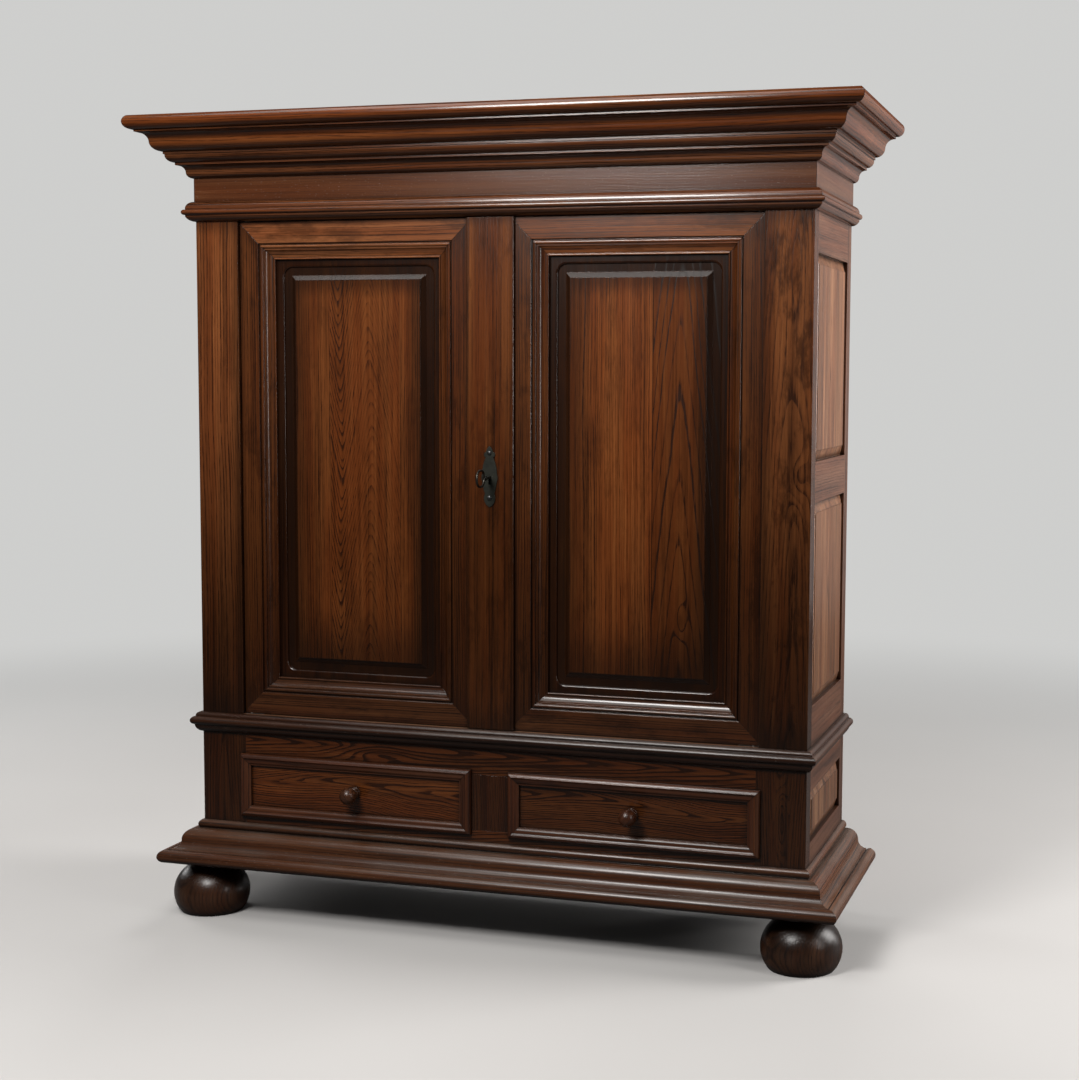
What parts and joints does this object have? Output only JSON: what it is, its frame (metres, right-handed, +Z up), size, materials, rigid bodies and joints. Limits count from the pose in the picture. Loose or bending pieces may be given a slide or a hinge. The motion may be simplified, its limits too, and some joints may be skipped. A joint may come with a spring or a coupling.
{
  "type": "kas cupboard",
  "caption": "Wide two-door oak cupboard with raised panels, drawers in the base, deep moulded cornice, heavy base moulding and ball feet.",
  "frame": {"origin": "on the floor, under the middle of the cupboard's overall box", "axes": "+Z up, -Y out of the front with the doors, +X to the right as seen from the front"},
  "size_m": [1.816, 0.622, 2],
  "materials": {
    "case_oak": "satin dark stained oak",
    "panel_oak": "satin stained oak, lighter in the field",
    "turned_oak": "glossy very dark stained oak",
    "plain_oak": "matt stained oak",
    "black_iron": "satin blackened",
    "steel": "satin"
  },
  "bodies": {
    "case": {"left_front_foot": "turned_oak", "right_front_foot": "turned_oak", "rear_feet": "plain_oak", "base_frame": "case_oak", "base_moulding": "case_oak", "lower_posts": "case_oak", "rear_posts": "case_oak", "drawer_rails": "case_oak", "drawer_centre_stile": "case_oak", "lower_side_rails": "case_oak", "lower_side_panels": "panel_oak", "lower_back_panel": "plain_oak", "drawer_runners": "plain_oak", "waist_moulding": "case_oak", "cupboard_floor": "plain_oak", "upper_front_posts": "case_oak", "upper_side_rails": "case_oak", "upper_side_panels": "panel_oak", "back_boards": "plain_oak", "cupboard_ceiling": "plain_oak", "shelves": "plain_oak", "shelf_cleats": "plain_oak", "door_stops": "plain_oak", "neck_moulding": "case_oak", "frieze": "case_oak", "cornice_bed_moulding": "case_oak", "cornice_crown_moulding": "case_oak", "cornice_nosing": "case_oak", "cornice_top": "plain_oak", "door_pivot_sockets": "steel"},
    "left_door": {"left_door_stiles": "case_oak", "left_door_rails": "case_oak", "left_door_backing_frame": "case_oak", "left_door_panel": "panel_oak", "left_door_meeting_stile": "case_oak", "left_door_centre_board": "case_oak", "left_door_pivots": "steel", "escutcheon": "black_iron", "lock_case": "steel"},
    "right_door": {"right_door_stiles": "case_oak", "right_door_rails": "case_oak", "right_door_backing_frame": "case_oak", "right_door_panel": "panel_oak", "right_door_pivots": "steel", "right_door_bolt_plates": "steel", "lock_keeper": "steel"},
    "left_drawer": {"left_drawer_front": "case_oak", "left_drawer_moulding": "case_oak", "left_drawer_box": "plain_oak", "left_drawer_bottom": "plain_oak", "left_drawer_knob": "turned_oak"},
    "right_drawer": {"right_drawer_front": "case_oak", "right_drawer_moulding": "case_oak", "right_drawer_box": "plain_oak", "right_drawer_bottom": "plain_oak", "right_drawer_knob": "turned_oak"},
    "key": {"key": "black_iron"},
    "lock_bolt": {"lock_bolt": "steel"},
    "top_bolt": {"right_door_top_bolt": "steel"},
    "bottom_bolt": {"right_door_bottom_bolt": "steel"}
  },
  "joints": [
    {"name": "left_door_hinge", "type": "hinge", "parent": "case", "child": "left_door", "pos_m": [-0.65, -0.167, 0.518], "axis": [0, 0, -1], "range_deg": [0, 110]},
    {"name": "right_door_hinge", "type": "hinge", "parent": "case", "child": "right_door", "pos_m": [0.65, -0.167, 0.518], "axis": [0, 0, 1], "range_deg": [0, 110]},
    {"name": "left_drawer_slide", "type": "slide", "parent": "case", "child": "left_drawer", "axis": [0, -1, 0], "range_m": [0, 0.35]},
    {"name": "right_drawer_slide", "type": "slide", "parent": "case", "child": "right_drawer", "axis": [0, -1, 0], "range_m": [0, 0.35]},
    {"name": "key_turn", "type": "hinge", "parent": "left_door", "child": "key", "pos_m": [0, -0.183, 1.13], "axis": [0, 1, 0], "range_deg": [0, 180]},
    {"name": "lock_bolt_slide", "type": "slide", "parent": "left_door", "child": "lock_bolt", "axis": [1, 0, 0], "range_m": [0, 0.012]},
    {"name": "top_bolt_slide", "type": "slide", "parent": "right_door", "child": "top_bolt", "axis": [0, 0, 1], "range_m": [0, 0.02]},
    {"name": "bottom_bolt_slide", "type": "slide", "parent": "right_door", "child": "bottom_bolt", "axis": [0, 0, -1], "range_m": [0, 0.02]}
  ],
  "couplings": [
    {"joint": "right_door_hinge", "follows": "left_door_hinge", "ratio": 1},
    {"joint": "lock_bolt_slide", "follows": "key_turn", "m_per_rad": 0.0038197}
  ]
}
